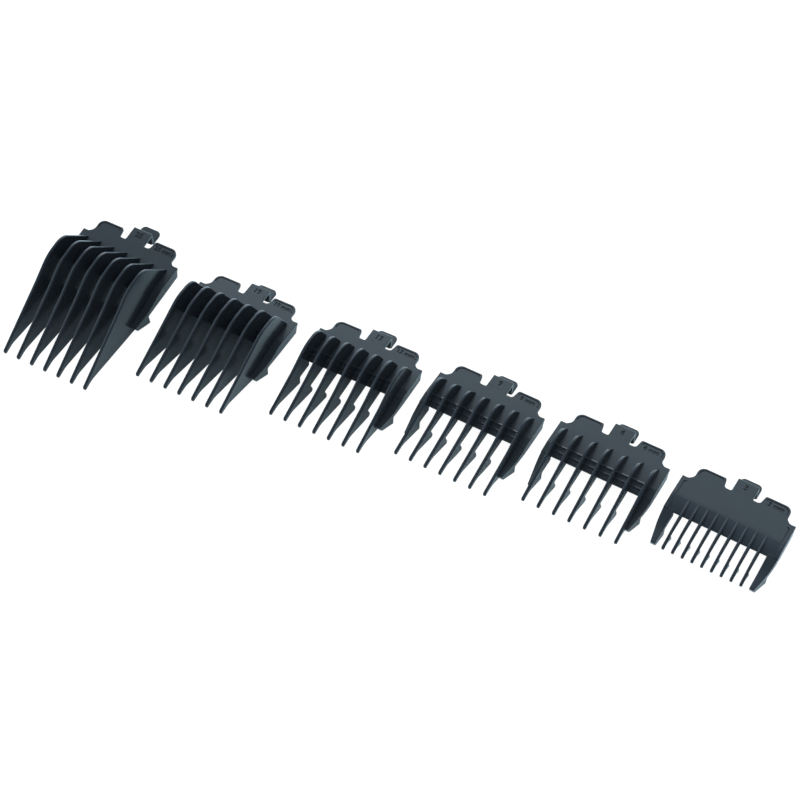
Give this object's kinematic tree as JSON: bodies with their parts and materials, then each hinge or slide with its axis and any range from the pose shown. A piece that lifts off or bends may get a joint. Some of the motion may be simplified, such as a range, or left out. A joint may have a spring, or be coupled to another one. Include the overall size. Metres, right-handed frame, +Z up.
{
  "type": "hair clipper guide comb set",
  "caption": "Row of clip-on guide combs for a hair clipper, from long to short teeth: moulded plates with side skirts, feet, curved teeth and a sprung rear latch.",
  "frame": {"origin": "middle of the row's bounding box, on the table it lies on", "axes": "+X along the row from the longest comb to the shortest, +Y towards the latches, +Z up"},
  "size_m": [0.319, 0.0884, 0.026],
  "materials": {
    "comb_plastic": "dark blue-grey moulded plastic, satin plate and polished teeth"
  },
  "bodies": {
    "comb_25mm": {"comb_25mm_body": "comb_plastic"},
    "latch_25mm": {"comb_25mm_latch": "comb_plastic"},
    "comb_19mm": {"comb_19mm_body": "comb_plastic"},
    "latch_19mm": {"comb_19mm_latch": "comb_plastic"},
    "comb_13mm": {"comb_13mm_body": "comb_plastic"},
    "latch_13mm": {"comb_13mm_latch": "comb_plastic"},
    "comb_9mm": {"comb_9mm_body": "comb_plastic"},
    "latch_9mm": {"comb_9mm_latch": "comb_plastic"},
    "comb_6mm": {"comb_6mm_body": "comb_plastic"},
    "latch_6mm": {"comb_6mm_latch": "comb_plastic"},
    "comb_3mm": {"comb_3mm_body": "comb_plastic"},
    "latch_3mm": {"comb_3mm_latch": "comb_plastic"}
  },
  "joints": [
    {"name": "latch_25mm_flex", "type": "hinge", "parent": "comb_25mm", "child": "latch_25mm", "pos_m": [-0.13604, 0.0254, 0.01184], "axis": [1, 0, 0], "range_deg": [0, 8], "stiffness_Nm_per_rad": 0.2},
    {"name": "latch_19mm_flex", "type": "hinge", "parent": "comb_19mm", "child": "latch_19mm", "pos_m": [-0.07926, 0.02688, 0.00647], "axis": [1, 0.0035, 0], "range_deg": [0, 8], "stiffness_Nm_per_rad": 0.2},
    {"name": "comb_19mm_lift", "type": "slide", "parent": "comb_25mm", "child": "comb_19mm", "axis": [0, 0, 1], "range_m": [0, 0.06]},
    {"name": "latch_13mm_flex", "type": "hinge", "parent": "comb_13mm", "child": "latch_13mm", "pos_m": [-0.02288, 0.02948, 0.00647], "axis": [1, 0.0087, 0], "range_deg": [0, 8], "stiffness_Nm_per_rad": 0.2},
    {"name": "comb_13mm_lift", "type": "slide", "parent": "comb_25mm", "child": "comb_13mm", "axis": [0, 0, 1], "range_m": [0, 0.06]},
    {"name": "latch_9mm_flex", "type": "hinge", "parent": "comb_9mm", "child": "latch_9mm", "pos_m": [0.03095, 0.03208, 0.00647], "axis": [0.9998, -0.0209, 0], "range_deg": [0, 8], "stiffness_Nm_per_rad": 0.2},
    {"name": "comb_9mm_lift", "type": "slide", "parent": "comb_25mm", "child": "comb_9mm", "axis": [0, 0, 1], "range_m": [0, 0.06]},
    {"name": "latch_6mm_flex", "type": "hinge", "parent": "comb_6mm", "child": "latch_6mm", "pos_m": [0.08385, 0.03338, 0.00647], "axis": [0.9998, -0.0192, 0], "range_deg": [0, 8], "stiffness_Nm_per_rad": 0.2},
    {"name": "comb_6mm_lift", "type": "slide", "parent": "comb_25mm", "child": "comb_6mm", "axis": [0, 0, 1], "range_m": [0, 0.06]},
    {"name": "latch_3mm_flex", "type": "hinge", "parent": "comb_3mm", "child": "latch_3mm", "pos_m": [0.13621, 0.03208, 0.00647], "axis": [0.9995, -0.0332, 0], "range_deg": [0, 8], "stiffness_Nm_per_rad": 0.2},
    {"name": "comb_3mm_lift", "type": "slide", "parent": "comb_25mm", "child": "comb_3mm", "axis": [0, 0, 1], "range_m": [0, 0.06]}
  ]
}
